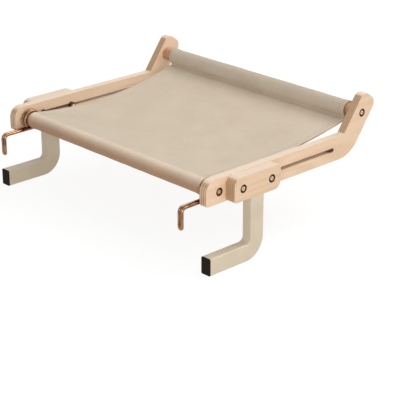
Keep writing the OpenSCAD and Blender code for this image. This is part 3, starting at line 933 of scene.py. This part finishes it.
def loop_spot(loop, length, x):
    """Point, outward normal and direction along the loop at a length along it."""
    rows = len(loop.points)
    length = length % loop.length
    i = max(k for k in range(rows) if loop.lengths[k] <= length)
    share = (length - loop.lengths[i]) / (loop.lengths[i + 1] - loop.lengths[i])
    ahead = (i + 1) % rows
    a = cloth_point(loop, i, x, False)
    b = cloth_point(loop, ahead, x, False)
    out = loop.points[i][1].lerp(loop.points[ahead][1], share)
    return a.lerp(b, share), Vector((0, out.x, out.y)).normalized(), (b - a).normalized()


def add_stitch(points, faces, at, out, along):
    """One lying stitch: a round thread that dips into the cloth at both ends."""
    beside = along.cross(out).normalized()
    first = len(points)
    radius = STITCH_THICK / 2
    for place, lift, thick in STITCH_PROFILE:
        centre = at + along * (place * STITCH_LONG) + out * (lift * radius)
        for k in range(STITCH_SIDES):
            turn = FULL_TURN * k / STITCH_SIDES
            points.append(centre + (beside * math.cos(turn) + out * math.sin(turn)) * radius * thick)
    last = first + (len(STITCH_PROFILE) - 1) * STITCH_SIDES
    for start in range(first, last, STITCH_SIDES):
        for k in range(STITCH_SIDES):
            a = start + k
            b = start + (k + 1) % STITCH_SIDES
            faces.append((b, a, a + STITCH_SIDES, b + STITCH_SIDES))
    faces.append(tuple(first + k for k in range(STITCH_SIDES)))
    faces.append(tuple(last + k for k in reversed(range(STITCH_SIDES))))


def make_stitching(loop):
    """Rows of stitches along both hems and beside both sleeves."""
    points = []
    faces = []
    hem_x = SLING_HALF_W - HEM_STITCH_IN
    hem_count = round(loop.length / STITCH_PITCH)
    for x in (-hem_x, hem_x):
        for k in range(hem_count):
            at, out, along = loop_spot(loop, loop.length * k / hem_count, x)
            add_stitch(points, faces, at, out, along)
    half = hem_x - STITCH_PITCH
    seam_count = round(2 * half / STITCH_PITCH)
    for edge in (loop.tuck_at, loop.fold_at):
        seam = loop.lengths[edge] - SEAM_STITCH_OFF
        for k in range(seam_count + 1):
            at, out, _ = loop_spot(loop, seam, -half + 2 * half * k / seam_count)
            add_stitch(points, faces, at, out, Vector((1, 0, 0)))
    return mesh_piece("sling_stitching", points, faces, thread(), "frame")


def area_light(name, at, size, watts):
    data = bpy.data.lights.new(name, "AREA")
    data.shape = "DISK"
    data.size = size
    data.energy = watts
    lamp = bpy.data.objects.new(name, data)
    lamp.location = at
    lamp.rotation_euler = (LAMP_AIM - Vector(at)).to_track_quat("-Z", "Y").to_euler()
    lamp.visible_camera = False
    bpy.context.scene.collection.objects.link(lamp)


def seen_ray(g):
    """1 for rays that show the background itself: camera, glossy and transmission rays."""
    path = g.node("ShaderNodeLightPath").outputs
    mirrored = g.math("MAXIMUM", path["Is Camera Ray"], path["Is Glossy Ray"])
    return g.math("MAXIMUM", mirrored, path["Is Transmission Ray"])


def make_world():
    """Soft light from all round, behind which a white background is seen."""
    world = bpy.data.worlds.new("studio")
    bpy.context.scene.world = world
    world.use_nodes = True
    g = Graph(world.node_tree)
    background = g.tree.nodes["Background"]
    g.put(background.inputs["Strength"], 1.0)
    g.put(background.inputs["Color"], g.mix(seen_ray(g), AMBIENT, SEEN_WHITE))


def floor_material():
    """Pale floor that keeps a faint shadow near the part and looks white further out."""
    g = Material("pale_floor")
    g.tree.nodes.remove(g.shader)
    seen = seen_ray(g)
    matt = g.node("ShaderNodeBsdfDiffuse")
    g.put(matt.inputs["Color"], g.mix(seen, FLOOR_BOUNCE, FLOOR_SEEN))
    glow = g.node("ShaderNodeEmission")
    g.put(glow.inputs["Strength"], FLOOR_GLOW)
    far = g.node("ShaderNodeVectorMath", operation="LENGTH")
    g.put(far.inputs[0], g.place())
    fade = g.ramp(far.outputs["Value"], *FLOOR_FADE, FLOOR_GLOW_SHARE, 1.0)
    blend = g.node("ShaderNodeMixShader")
    g.put(blend.inputs[0], g.math("MULTIPLY", seen, fade))
    g.put(blend.inputs[1], matt.outputs[0])
    g.put(blend.inputs[2], glow.outputs[0])
    g.put(g.tree.nodes["Material Output"].inputs["Surface"], blend.outputs[0])
    return g.material


def make_floor():
    half = FLOOR_SIZE / 2
    z = CAD_BOX[0][2]
    mesh = bpy.data.meshes.new("floor")
    corners = [(-half, -half, z), (half, -half, z), (half, half, z), (-half, half, z)]
    mesh.from_pydata(corners, [], [(0, 1, 2, 3)])
    mesh.materials.append(floor_material())
    floor = bpy.data.objects.new("floor", mesh)
    bpy.context.scene.collection.objects.link(floor)


def make_camera():
    level = math.cos(CAMERA_ELEVATION)
    back = Vector((
        math.sin(CAMERA_AZIMUTH) * level, -math.cos(CAMERA_AZIMUTH) * level, math.sin(CAMERA_ELEVATION)
    ))
    data = bpy.data.cameras.new("camera")
    data.sensor_width = CAMERA_SENSOR
    data.sensor_fit = "HORIZONTAL"
    data.lens = CAMERA_LENS
    data.clip_end = CAMERA_FAR
    camera = bpy.data.objects.new("camera", data)
    camera.location = CAMERA_TARGET + back * CAMERA_DISTANCE
    camera.rotation_euler = (-back).to_track_quat("-Z", "Y").to_euler()
    bpy.context.scene.collection.objects.link(camera)
    bpy.context.scene.camera = camera


make_camera()
make_world()
make_floor()
for lamp_name, lamp_look in LAMPS.items():
    area_light(lamp_name, **lamp_look)
bpy.context.scene.view_settings.view_transform = "Standard"
dress_frame()
sling_loop = Loop()
sling_piece = make_sling(sling_loop)
stitch_piece = make_stitching(sling_loop)
